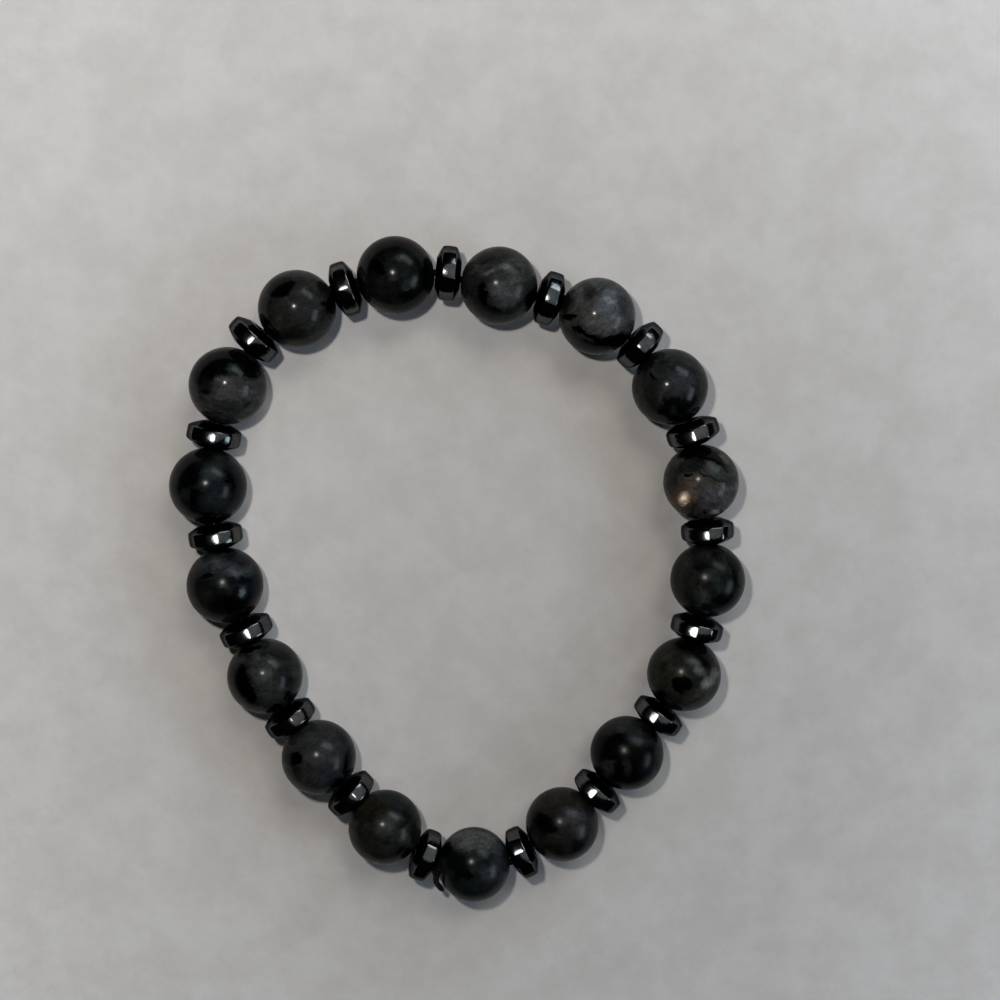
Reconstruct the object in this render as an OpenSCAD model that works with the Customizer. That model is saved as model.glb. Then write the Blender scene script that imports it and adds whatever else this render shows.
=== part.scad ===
// Stretch bracelet of round drilled stones with faceted metal-like
// spacers between them, lying flat as a closed, slightly egg-shaped loop.
// Millimetres. +Z up, the stones rest on z = 0.

/* [Stones] */
// Diameter of a round stone
stone_d = 8; // [7:0.5:9]
// Diameter of the hole drilled through a stone
stone_hole_d = 1.2; // [1:0.1:1.4]
// Width of the small chamfer at each end of the hole
hole_chamfer = 0.15; // [0.1:0.05:0.25]

/* [Spacers] */
// Diameter of a spacer, corner to corner
spacer_d = 5.7; // [5:0.1:6]
// Thickness of a spacer at its hub
spacer_t = 2.6; // [2.4:0.1:3]
// Width of the flat facets round the rim
spacer_rim_t = 1.45; // [1:0.05:1.6]
// Diameter of the flat hub, corner to corner
spacer_hub_d = 3.3; // [2.8:0.1:3.6]
// Number of facets round a spacer
spacer_facets = 12; // [8:1:12]
// Diameter of the hole through a spacer
spacer_hole_d = 1.8; // [1.7:0.1:2]

/* [Thread] */
// Diameter of the elastic thread
thread_d = 0.7; // [0.5:0.1:0.8]
// Free play left between a spacer and the stone beside it
play = 0.05; // [0.05:0.05:0.3]

/* [Knot] */
// Diameter of the knot
knot_d = 1; // [0.8:0.1:1]
// Diameter of the cut end where it leaves the knot
tail_d = 0.8; // [0.5:0.1:0.8]

/* [Hidden] */
// Where the thread passes the middle of each stone, clockwise seen from
// above, to the nearest half millimetre. The loop is then brought to the
// length that the stones and spacers need.
//        x      y
route = [
    [-7.0,  32.0],
    [ 4.0,  31.0],
    [14.0,  28.0],
    [22.0,  20.5],
    [25.5,  10.5],
    [26.5,   0.0],
    [24.0, -11.0],
    [18.0, -19.5],
    [11.0, -27.5],
    [ 1.0, -32.0],
    [-8.5, -27.5],
    [-15.5,-19.5],
    [-21.0,-10.5],
    [-25.0, -0.5],
    [-26.5, 10.0],
    [-24.0, 21.0],
    [-17.0, 28.5]
];
// Turn of each spacer about the thread, degrees
roll = [11, 12, 11, 7, 6, 9, 16, 17, 22, 16, 19, 15, 15, 16, 15, 7, 2];
// How far each spacer hangs outwards of the line between the two holes beside
// it, as its roomy hole lets it
sit = [0.3, -0.6, 0, 0.3, -0.2, -0.6, -0.1, -0.1, -0.2, 0, -0.6, -0.1, -0.6, -0.5, -0.6, 0.2, -0.6];

count = len(route);
stone_r = stone_d / 2;
pitch = stone_d + spacer_t + 2 * play;
start = 0.03;
// How far the taut thread lies inwards in each stone's hole
pull = max(0, min(0.15, (stone_hole_d - thread_d) / 2 - 0.1));
// Clearance all round the thread in a spacer's hole, less a little
room = (spacer_hole_d - thread_d) / 2 - 0.08;

// Closed smooth curve through the route: u counts the route's points
function at(i) = route[(i + 2 * count) % count];
function curve(u) =
    let (k = floor(u), t = u - k, a = at(k - 1), b = at(k), c = at(k + 1), d = at(k + 2))
    (2 * b + (c - a) * t + (2 * a - 5 * b + 4 * c - d) * t * t
        + (3 * b - a - 3 * c + d) * t * t * t) / 2;

// The u whose point lies the chord s past the point at u0, by halving
function step_to(p, lo, hi, s, n) =
    let (m = (lo + hi) / 2)
    n == 0 ? m : (norm(curve(m) - p) < s ? step_to(p, m, hi, s, n - 1) : step_to(p, lo, m, s, n - 1));
function walk(u, s, n) =
    n == 0 ? [u] : concat([u], walk(step_to(curve(u), u, u + 2, s, 26), s, n - 1));
// The chord that comes back to the first stone after the last one
function chord(lo, hi, n) =
    let (m = (lo + hi) / 2)
    n == 0 ? m : (walk(start, m, count)[count] < start + count ? chord(m, hi, n - 1) : chord(lo, m, n - 1));

open_chord = chord(pitch * 0.8, pitch * 1.2, 26);
size_k = pitch / open_chord;
raw = [for (u = walk(start, open_chord, count - 1)) curve(u) * size_k];
xs = [for (p = raw) p[0]];
ys = [for (p = raw) p[1]];
middle = [(min(xs) + max(xs)) / 2, (min(ys) + max(ys)) / 2];
// Middle of each stone
stones = [for (p = raw) p - middle];

function unit(v) = v / norm(v);
function next(i) = (i + 1) % count;
function last(i) = (i + count - 1) % count;
// Direction from each stone to the next, and the direction of its hole
along = [for (i = [0 : count - 1]) unit(stones[next(i)] - stones[i])];
drill = [for (i = [0 : count - 1]) unit(along[last(i)] + along[i])];
// Sideways, out of the loop
function outward(v) = [-v[1], v[0]];
// Middle of each spacer: where the line from one hole's mouth to the other's
// crosses the middle of the gap between the two stones, then out by its sit,
// as far as the thread's slant through its hole leaves it room
spacers = [for (i = [0 : count - 1])
    let (p = stones[i] + stone_r * drill[i],
         q = stones[next(i)] - stone_r * drill[next(i)],
         m = (stones[i] + stones[next(i)]) / 2,
         slant = (q - p) / ((q - p) * along[i]),
         reach = max(0, room - abs(slant * outward(along[i])) * spacer_t / 2),
         off = max(-reach, min(reach, sit[i] + pull)) - pull)
    p + slant * ((m - p) * along[i]) + off * outward(along[i])];

function deg(v) = atan2(v[1], v[0]);
function two(i) = str(i < 10 ? "0" : "", i);
stone_names = [for (i = [1 : count]) str("bead_", two(i))];
spacer_names = [for (i = [1 : count]) str("spacer_", two(i))];

// One drilled stone, hole along X
module stone() {
    color([0.20, 0.21, 0.21])
    rotate([0, 90, 0])
    difference() {
        sphere(d = stone_d, $fn = 96);
        cylinder(d = stone_hole_d, h = stone_d + 2, center = true, $fn = 48);
        for (s = [0, 1]) mirror([0, 0, s])
            translate([0, 0, stone_r - 2 * hole_chamfer])
                cylinder(h = 4 * hole_chamfer, r1 = stone_hole_d / 2 - hole_chamfer,
                         r2 = stone_hole_d / 2 + 3 * hole_chamfer, $fn = 48);
    }
}

// One faceted spacer, hole along X
module spacer(turn) {
    color([0.13, 0.13, 0.14])
    rotate([turn, 0, 0]) rotate([0, 90, 0])
    difference() {
        rotate_extrude($fn = spacer_facets)
            polygon([
                [0, -spacer_t / 2], [spacer_hub_d / 2, -spacer_t / 2],
                [spacer_d / 2, -spacer_rim_t / 2], [spacer_d / 2, spacer_rim_t / 2],
                [spacer_hub_d / 2, spacer_t / 2], [0, spacer_t / 2]
            ]);
        cylinder(d = spacer_hole_d, h = spacer_t + 2, center = true, $fn = 48);
    }
}

// The thread: one closed tube, straight through each hole and each spacer
ring_sides = 8;
thread_path = [for (i = [0 : count - 1]) for (k = [-1, -1 / 3, 1 / 3, 1])
    stones[i] + k * stone_r * drill[i] - pull * outward(drill[i])];
module elastic_cord() {
    n = len(thread_path);
    pts = [for (i = [0 : n - 1])
        let (p = thread_path[i],
             d0 = unit(p - thread_path[(i + n - 1) % n]),
             d1 = unit(thread_path[(i + 1) % n] - p),
             t = unit(d0 + d1), side = [t[1], -t[0]], widen = 1 / (t * d1))
        for (j = [0 : ring_sides - 1])
            let (a = 360 * (j + 0.5) / ring_sides, r = thread_d / 2,
                 q = p + r * cos(a) * widen * side)
            [q[0], q[1], stone_r + r * sin(a)]];
    faces = [for (i = [0 : n - 1]) for (j = [0 : ring_sides - 1])
        let (a = i * ring_sides + j, b = i * ring_sides + (j + 1) % ring_sides,
             c = ((i + 1) % n) * ring_sides + (j + 1) % ring_sides,
             d = ((i + 1) % n) * ring_sides + j)
        for (f = [[a, b, c], [a, c, d]]) f];
    color([0.03, 0.03, 0.03]) polyhedron(points = pts, faces = faces, convexity = 8);
}

// A straight round taper between two points
module taper(p, q, d1, d2) {
    v = q - p;
    translate(p)
        rotate([0, acos(v[2] / norm(v)), atan2(v[1], v[0])])
            cylinder(h = norm(v), d1 = d1, d2 = d2, $fn = 32);
}

// The knot, in the crevice between stone 10 and the spacer after it.
// Its points are set out from that stone's middle: along the thread,
// outwards from the loop, and up.
knot_stone = 9;
function knot_at(a, o, z) =
    let (t = along[knot_stone], out = [-t[1], t[0]])
    [stones[knot_stone][0] + a * t[0] + o * out[0],
     stones[knot_stone][1] + a * t[1] + o * out[1], stone_r + z];
knot_mid = knot_at(3.83, 1.4, 2.5);
tail_bend = knot_at(3.2, 2.95, 1.4);
tail_tip = knot_at(1.75, 4.2, 0);
module knot() {
    color([0.03, 0.03, 0.03]) {
        taper(knot_at(3.78, 1.7, 0.6), knot_mid, 0.3, 0.5);
        translate(knot_mid) sphere(d = knot_d, $fn = 40);
        translate(tail_bend) sphere(d = tail_d * 0.9, $fn = 32);
        taper(knot_mid, tail_bend, tail_d * 0.9, tail_d * 0.75);
        taper(tail_bend, tail_tip, tail_d * 0.75, 0.12);
    }
}

for (i = [0 : count - 1]) {
    translate([stones[i][0], stones[i][1], stone_r])
            rotate([0, 0, deg(drill[i])]) stone();
    translate([spacers[i][0], spacers[i][1], stone_r])
            rotate([0, 0, deg(along[i])]) spacer(roll[i]);
}
elastic_cord();
knot();
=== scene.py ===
import math

import bpy
import numpy as np
from mathutils import Matrix, Vector, noise


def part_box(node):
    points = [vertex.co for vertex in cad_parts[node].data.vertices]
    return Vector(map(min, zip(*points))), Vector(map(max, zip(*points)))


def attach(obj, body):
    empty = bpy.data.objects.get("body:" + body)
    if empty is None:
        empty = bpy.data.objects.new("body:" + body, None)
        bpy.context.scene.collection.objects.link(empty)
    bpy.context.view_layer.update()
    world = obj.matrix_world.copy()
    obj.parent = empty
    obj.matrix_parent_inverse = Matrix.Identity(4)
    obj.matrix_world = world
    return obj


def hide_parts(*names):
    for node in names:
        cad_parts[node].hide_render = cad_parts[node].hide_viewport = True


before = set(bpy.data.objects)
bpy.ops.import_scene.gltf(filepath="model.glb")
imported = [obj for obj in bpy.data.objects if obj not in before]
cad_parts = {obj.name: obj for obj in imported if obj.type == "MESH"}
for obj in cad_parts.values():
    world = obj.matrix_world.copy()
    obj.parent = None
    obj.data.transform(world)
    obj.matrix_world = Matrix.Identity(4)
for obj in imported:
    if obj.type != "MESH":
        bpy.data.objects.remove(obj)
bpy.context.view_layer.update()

MM = 0.001
COUNT = 17
SCENE = bpy.context.scene
SCENE.view_settings.view_transform = "Standard"
SCENE.view_settings.look = "None"
SCENE.view_settings.exposure = 0.0
SCENE.view_settings.gamma = 1.0

# ---------------------------------------------------------------- camera
AIM = Vector((4.274, 7.988, 0.0)) * MM
BACK = Vector((-0.04881, 0.14419, 0.98834)).normalized()
RIGHT = Vector((0.99878, 0.0, 0.04932))
UP = BACK.cross(RIGHT).normalized()
RIGHT = UP.cross(BACK).normalized()
EYE = AIM + BACK * 0.1417


def seen(x, y, z):
    """A direction given as right, up and towards the camera."""
    return (RIGHT * x + UP * y + BACK * z).normalized()


cam_data = bpy.data.cameras.new("photo_camera")
cam_data.sensor_fit = "HORIZONTAL"
cam_data.sensor_width = 36.0
cam_data.lens = 46.8
cam_data.clip_start = 0.005
cam_data.clip_end = 10.0
cam = bpy.data.objects.new("photo_camera", cam_data)
cam.matrix_world = Matrix((
    (RIGHT.x, UP.x, BACK.x, EYE.x),
    (RIGHT.y, UP.y, BACK.y, EYE.y),
    (RIGHT.z, UP.z, BACK.z, EYE.z),
    (0, 0, 0, 1)))
SCENE.collection.objects.link(cam)
SCENE.camera = cam

# ------------------------------------------- where the CAD pieces are
def middle(node):
    low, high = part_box(node)
    return (low + high) / 2


STONE_R = 4.0 * MM
stones = [middle(f"bead_{i + 1:02d}") for i in range(COUNT)]
hubs = [middle(f"spacer_{i + 1:02d}") for i in range(COUNT)]
along = [(stones[(i + 1) % COUNT] - stones[i]).normalized() for i in range(COUNT)]
drill = [(along[i - 1] + along[i]).normalized() for i in range(COUNT)]
ROLL = [11, 12, 11, 7, 6, 9, 16, 17, 22, 16, 19, 15, 15, 16, 15, 7, 2]
PULL = 0.15 * MM


# ---------------------------------------------------------------- lights
def area(name, place, target, radiance, size, size_y=None, seen_in="both"):
    """An area light of a given radiance (red, green, blue), turned to target.
    It lights surfaces, shows in polished ones, or both."""
    data = bpy.data.lights.new(name, "AREA")
    if size_y is None:
        data.shape = "DISK"
        data.size = size
        surface = math.pi * size * size / 4
    else:
        data.shape = "RECTANGLE"
        data.size, data.size_y = size, size_y
        surface = size * size_y
    top = max(radiance)
    data.energy = top * math.pi * surface
    data.color = [c / top for c in radiance]
    ob = bpy.data.objects.new(name, data)
    ob.location = place
    ob.rotation_euler = (Vector(place) - Vector(target)).to_track_quat("Z", "Y").to_euler()
    ob.visible_camera = False
    ob.visible_glossy = seen_in != "soft"
    ob.visible_diffuse = seen_in != "gloss"
    SCENE.collection.objects.link(ob)
    return ob


CENTRE = Vector((0, 0, 4)) * MM


def around(azimuth, height, far):
    """A place round the bracelet, by compass and height angles in degrees."""
    a, h = math.radians(azimuth), math.radians(height)
    return CENTRE + Vector((math.cos(a) * math.cos(h), math.sin(a) * math.cos(h), math.sin(h))) * far


# The small hard light just above and left of the camera
KEY_AT = EYE + RIGHT * (-0.021) + UP * 0.021
key = area("key", KEY_AT, CENTRE, (540, 512, 478), 0.008)
# The room's soft light, mostly from above right
for azimuth, height, radiance in (
        (-60, 28, (1.24, 1.28, 1.33)), (-13, 29, (2.66, 3.14, 3.87)), (35, 28, (0.86, 0.93, 0.84)),
        (62, 26, (2.56, 3.17, 3.82)), (90, 28, (0.51, 0.43, 0.65)), (70, 50, (4.70, 4.44, 3.74))):
    area(f"room_{azimuth % 360}_{height}", around(azimuth, height, 0.5), CENTRE, radiance, 0.24, 0.16, "soft")
# What the polished stones and spacers mirror: two pale panes and a dim card
area("pane_1", CENTRE + seen(0.49, 0.66, 0.56) * 0.45, CENTRE, (4.0, 4.3, 4.5), 0.26, 0.12, "gloss")
pane = area("pane_2", CENTRE + seen(0.87, -0.28, 0.41) * 0.45, CENTRE, (3.7, 4.2, 4.45), 0.24, 0.12, "gloss")
bit = area("pane_3", CENTRE + seen(0.87, -0.31, 0.41) * 0.45, CENTRE, (3.6, 4.5, 4.7), 0.10, 0.10, "gloss")
card = area("card", CENTRE + seen(0.50, 0.14, 0.85) * 0.40, CENTRE, (0.42, 0.435, 0.44), 0.50, 0.62, "gloss")
card.data.shape = "ELLIPSE"
card.data.energy *= math.pi / 4
area("ceiling", CENTRE + seen(0.42, 0.24, 0.875) * 0.40, CENTRE, (0.13, 0.134, 0.136), 0.36, 0.36, "gloss")
# the card and the third pane are set for the spacers alone, and they have
# glint lamps in place of the key
mirrors = bpy.data.collections.new("spacers")
not_keyed = bpy.data.collections.new("spacers_not_keyed")
for group in (mirrors, not_keyed):
    SCENE.collection.children.link(group)
card.light_linking.receiver_collection = mirrors
bit.light_linking.receiver_collection = mirrors
key.light_linking.receiver_collection = not_keyed
pane.light_linking.receiver_collection = not_keyed
# How wide each spacer's glint is and how far it lies along the thread
GLINT = ((0.46, -0.24), (0.42, -0.25), (0.46, -0.22), (1.05, 0.03), (0.78, 0), (1.10, 0), (1.14, 0), (1.14, 0), (0.98, 0),
         None, (0.58, 0.15), (0.46, 0.20), (1.30, 0.10), (0.90, 0.06), (0.68, 0.05), (0.72, 0.05), (0.80, 0))


def glint_lamp(i, top, t):
    """The key's bright surround as the rim of spacer i mirrors it: a lamp on
    the key's side of the camera, square to the thread's direction t."""
    to_key, view = (KEY_AT - top).normalized(), (EYE - top).normalized()
    wide, slide = GLINT[i]
    to_lamp = (to_key - t * ((to_key + view).dot(t) - slide)).normalized()
    lamp = area(f"glint_{i + 1:02d}", top + to_lamp * 0.14, top, (14.5, 14.3, 14.0), 0.050 * wide, 0.078 * wide, "gloss")
    lamp.data.shape = "ELLIPSE"
    across = t.cross(to_lamp).normalized()
    lamp.rotation_euler = Matrix((across, to_lamp.cross(across), to_lamp)).transposed().to_euler()
    group = bpy.data.collections.new(f"glint_{i + 1:02d}")
    SCENE.collection.children.link(group)
    lamp.light_linking.receiver_collection = group
    return group


world = bpy.data.worlds.new("world")
SCENE.world = world
world.use_nodes = True
wt = world.node_tree
wt.nodes.clear()
w_out = wt.nodes.new("ShaderNodeOutputWorld")
w_dim = wt.nodes.new("ShaderNodeBackground")
w_dim.inputs["Color"].default_value = (1.0, 0.92, 0.84, 1)
w_dim.inputs["Strength"].default_value = 0.006
w_pale = wt.nodes.new("ShaderNodeBackground")
w_pale.inputs["Color"].default_value = (0.42, 0.42, 0.415, 1)
w_mix = wt.nodes.new("ShaderNodeMixShader")
w_path = wt.nodes.new("ShaderNodeLightPath")
wt.links.new(w_path.outputs["Is Camera Ray"], w_mix.inputs[0])
wt.links.new(w_dim.outputs[0], w_mix.inputs[1])
wt.links.new(w_pale.outputs[0], w_mix.inputs[2])
wt.links.new(w_mix.outputs[0], w_out.inputs[0])


# ------------------------------------------------------- node shorthand
class Tree:
    """Short ways to add and link shader nodes."""

    def __init__(self, name):
        self.material = bpy.data.materials.new(name)
        self.material.use_nodes = True
        self.tree = self.material.node_tree
        self.tree.nodes.clear()
        self.out = self.tree.nodes.new("ShaderNodeOutputMaterial")
        self.bsdf = self.tree.nodes.new("ShaderNodeBsdfPrincipled")
        self.link(self.bsdf.outputs[0], self.out.inputs["Surface"])

    def link(self, a, b):
        self.tree.links.new(a, b)

    def put(self, value, socket):
        if isinstance(value, bpy.types.NodeSocket):
            self.link(value, socket)
        else:
            socket.default_value = value

    def node(self, kind, **props):
        n = self.tree.nodes.new(kind)
        for k, v in props.items():
            setattr(n, k, v)
        return n

    def place(self):
        return self.node("ShaderNodeTexCoord").outputs["Object"]

    def mapping(self, vector, kind="POINT", location=(0, 0, 0), rotation=(0, 0, 0), scale=(1, 1, 1)):
        n = self.node("ShaderNodeMapping", vector_type=kind)
        self.link(vector, n.inputs["Vector"])
        n.inputs["Location"].default_value = location
        n.inputs["Rotation"].default_value = rotation
        n.inputs["Scale"].default_value = scale
        return n.outputs[0]

    def noise(self, vector, scale, detail=3.0, rough=0.55, colour=False):
        n = self.node("ShaderNodeTexNoise")
        self.link(vector, n.inputs["Vector"])
        n.inputs["Scale"].default_value = scale
        n.inputs["Detail"].default_value = detail
        n.inputs["Roughness"].default_value = rough
        return n.outputs["Color" if colour else "Fac"]

    def cells(self, vector, scale, feature="F1", out="Color", smooth=None):
        n = self.node("ShaderNodeTexVoronoi", feature=feature)
        self.link(vector, n.inputs["Vector"])
        n.inputs["Scale"].default_value = scale
        if smooth is not None:
            n.inputs["Smoothness"].default_value = smooth
        return n.outputs[out]

    def vector(self, op, a, b=None, scale=None, out=0):
        n = self.node("ShaderNodeVectorMath", operation=op)
        self.put(a, n.inputs[0])
        if b is not None:
            self.put(b, n.inputs[1])
        if scale is not None:
            self.put(scale, n.inputs["Scale"])
        return n.outputs[out]

    def length(self, a):
        return self.vector("LENGTH", a, out="Value")

    def math(self, op, a, b=None, clamp=False):
        n = self.node("ShaderNodeMath", operation=op, use_clamp=clamp)
        self.put(a, n.inputs[0])
        if b is not None:
            self.put(b, n.inputs[1])
        return n.outputs[0]

    def span(self, value, lo, hi, to_lo=0.0, to_hi=1.0, kind="SMOOTHSTEP"):
        n = self.node("ShaderNodeMapRange", interpolation_type=kind)
        self.link(value, n.inputs["Value"])
        n.inputs["From Min"].default_value = lo
        n.inputs["From Max"].default_value = hi
        n.inputs["To Min"].default_value = to_lo
        n.inputs["To Max"].default_value = to_hi
        return n.outputs[0]

    def mix(self, factor, a, b, blend="MIX"):
        n = self.node("ShaderNodeMix", data_type="RGBA", blend_type=blend)
        self.put(factor, n.inputs[0])
        for value, socket in ((a, n.inputs[6]), (b, n.inputs[7])):
            self.put((*value, 1.0) if isinstance(value, tuple) and len(value) == 3 else value, socket)
        return n.outputs[2]

    def mix_value(self, factor, a, b):
        n = self.node("ShaderNodeMix", data_type="FLOAT")
        self.put(factor, n.inputs[0])
        self.put(a, n.inputs[2])
        self.put(b, n.inputs[3])
        return n.outputs[0]

    def bump(self, height, strength, distance, normal=None):
        n = self.node("ShaderNodeBump")
        self.link(height, n.inputs["Height"])
        n.inputs["Strength"].default_value = strength
        n.inputs["Distance"].default_value = distance
        if normal is not None:
            self.link(normal, n.inputs["Normal"])
        return n.outputs[0]


# ------------------------------------------------------------- meshes
def finish_mesh(name, verts, faces, smooth=True, sharp_angle=None):
    mesh = bpy.data.meshes.new(name)
    mesh.from_pydata([tuple(v) for v in verts], [], [tuple(f) for f in faces])
    mesh.validate()
    mesh.update()
    mesh.polygons.foreach_set("use_smooth", [smooth] * len(mesh.polygons))
    if sharp_angle is not None:
        mesh.set_sharp_from_angle(angle=math.radians(sharp_angle))
    mesh.update()
    ob = bpy.data.objects.new(name, mesh)
    SCENE.collection.objects.link(ob)
    return ob


def ring_faces(rings, sides, closed):
    """Quads between rings of the same number of points."""
    faces = []
    for i in range(rings if closed else rings - 1):
        k = (i + 1) % rings
        for j in range(sides):
            n = (j + 1) % sides
            faces.append((i * sides + j, i * sides + n, k * sides + n, k * sides + j))
    return faces


def turned_frame(axis):
    side = Vector((0, 0, 1)).cross(axis).normalized()
    return axis, side, axis.cross(side).normalized()


def stone_mesh(name, centre, axis, seed):
    """A drilled, chamfered stone: one closed surface turned about its hole.
    The polished ball is a few hundredths of a millimetre out of round."""
    profile = []
    for x in np.linspace(3.80, -3.80, 9):
        profile.append((x, 0.60, 0))
    profile += [(-3.86, 0.612, 0), (-3.93, 0.675, 0)]
    first = math.degrees(math.asin(0.70 / 4))
    for a in np.linspace(180 - first, first, 66):
        profile.append((4 * math.cos(math.radians(a)), 4 * math.sin(math.radians(a)), 1))
    profile += [(3.93, 0.675, 0), (3.86, 0.612, 0)]
    sides = 104
    ex, ey, ez = turned_frame(axis)
    verts = []
    for x, r, ball in profile:
        for j in range(sides):
            t = 2 * math.pi * j / sides
            d = ex * x + (ey * math.cos(t) + ez * math.sin(t)) * r
            if ball:
                u = d / 4
                w = noise.noise(u * 1.4 + Vector((seed * 3.1, 7.0, 1.0)))
                w += 0.35 * noise.noise(u * 3.3 + Vector((seed * 1.7, 3.0, 9.0)))
                d = d * (1 - 0.0022 * (1 + w))
            verts.append(centre + d * MM)
    return finish_mesh(name, verts, ring_faces(len(profile), sides, True), sharp_angle=28)


def spacer_mesh(name, centre, axis, turn, seed):
    """A faceted spacer: a twelve-sided rim and two bevelled cones, each facet
    very slightly crowned and each edge rounded over, with a round hole."""
    R_RIM, R_HUB, R_HOLE = 2.85, 1.65, 0.90
    X_RIM, X_HUB = 0.725, 1.30
    # (x, corner radius, how far it follows the facets, 1 = fully)
    side = [
        (0.00, R_RIM, 1.0), (0.14, R_RIM - 0.0022, 1.0), (0.28, R_RIM - 0.0087, 1.0), (0.40, R_RIM - 0.0178, 1.0),
        (0.50, R_RIM - 0.0290, 1.0), (0.58, R_RIM - 0.0425, 1.0), (0.65, R_RIM - 0.062, 1.0), (0.71, R_RIM - 0.098, 1.0),
        (0.765, R_RIM - 0.156, 1.0),
        (0.86, R_RIM - 0.32, 1.0), (0.96, R_RIM - 0.52, 1.0), (1.06, R_RIM - 0.74, 1.0), (1.15, R_RIM - 0.95, 1.0),
        (1.205, R_RIM - 1.09, 1.0), (1.245, R_HUB + 0.03, 1.0), (1.275, R_HUB - 0.05, 1.0), (1.292, R_HUB - 0.13, 1.0),
        (1.299, R_HUB - 0.22, 0.9), (1.30, 1.25, 0.5), (1.30, 1.05, 0.1), (1.298, 0.97, 0.0),
        (1.285, 0.935, 0.0), (1.25, 0.91, 0.0), (1.15, R_HOLE, 0.0), (0.60, R_HOLE, 0.0),
    ]
    profile = [(-x, r, k) for x, r, k in reversed(side[1:])] + side
    profile.append((0.0, R_HOLE, 0.0))
    steps = (-15.0, -14.3, -13.4, -12.0, -9.5, -6.5, -3.2, 0.0, 3.2, 6.5, 9.5, 12.0, 13.4, 14.3)
    angles = [(30 * f + s, s) for f in range(12) for s in steps]
    ex, ey, ez = turned_frame(axis)
    flat = math.cos(math.radians(15))
    verts = []
    for x, r, k in profile:
        for t, s in angles:
            f = flat / math.cos(math.radians(s))              # flat facet
            f *= 1 + 0.0190 * (1 - (s / 15) ** 2)               # crowned
            f -= 0.0040 * max(0.0, (abs(s) - 10.5) / 4.5) ** 2  # corner rounded over
            f = 1 + (f - 1) * k
            a = math.radians(t + 15 + turn)
            # the CAD turns the spacer's own X to -Z, then rolls it about the thread
            d = ex * x + (ey * math.sin(a) - ez * math.cos(a)) * (r * f)
            if k == 1.0:
                w = noise.noise(d * 0.9 + Vector((seed * 2.3, 1.0, 4.0)))
                d = d * (1 - 0.0016 * (1 + w))
            verts.append(centre + d * MM)
    return finish_mesh(name, verts, ring_faces(len(profile), len(angles), True), sharp_angle=60)


def tube_mesh(name, path, radii, sides, closed, squash=None):
    """A round tube along path, closed in a loop or with a flat cap at each end."""
    n = len(path)
    rings = []
    up0 = Vector((0, 0, 1))
    for i in range(n):
        a = path[(i - 1) % n] if closed or i > 0 else path[i]
        b = path[(i + 1) % n] if closed or i < n - 1 else path[i]
        t = (b - a).normalized()
        side = up0.cross(t)
        side = side.normalized() if side.length > 1e-6 else Vector((1, 0, 0))
        up = t.cross(side).normalized()
        ring = []
        for j in range(sides):
            w = 2 * math.pi * j / sides
            r = radii[i] * (1.0 if squash is None else squash(i, w))
            ring.append(path[i] + (side * math.cos(w) + up * math.sin(w)) * r)
        rings.append(ring)
    verts = [v for ring in rings for v in ring]
    faces = ring_faces(n, sides, closed)
    if not closed:
        faces.append(tuple(reversed(range(sides))))
        faces.append(tuple((n - 1) * sides + j for j in range(sides)))
    return finish_mesh(name, verts, faces)


def outward(ob):
    """Turns every face of a closed mesh outwards."""
    import bmesh
    bm = bmesh.new()
    bm.from_mesh(ob.data)
    bmesh.ops.recalc_face_normals(bm, faces=bm.faces)
    if bm.calc_volume(signed=True) < 0:
        bmesh.ops.reverse_faces(bm, faces=bm.faces)
    bm.to_mesh(ob.data)
    bm.free()
    ob.data.update()


# ------------------------------------------------------ stone material
# Colours, as the share of light sent back
K = (0.0008, 0.0010, 0.0009)     # black
KG = (0.0026, 0.0040, 0.0033)    # green-black
KB = (0.0050, 0.0042, 0.0034)    # brown-black
NV = (0.0022, 0.0038, 0.0062)    # navy-black
DG = (0.0110, 0.0128, 0.0122)    # dark grey
DT = (0.0085, 0.0135, 0.0138)    # dark teal
SL = (0.0200, 0.0240, 0.0270)    # slate
OL = (0.0176, 0.0180, 0.0150)    # olive
BR = (0.0168, 0.0148, 0.0125)    # brown
MG = (0.0320, 0.0325, 0.0315)    # middle grey
WG = (0.0520, 0.0470, 0.0430)    # warm grey
LG = (0.0800, 0.0800, 0.0760)    # light grey
LB = (0.1150, 0.1270, 0.1320)    # light blue-grey
TL = (0.0290, 0.0400, 0.0400)    # teal
BE = (0.1700, 0.1680, 0.1550)    # beige
PK = (0.2600, 0.1900, 0.1700)    # pinkish

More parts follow.
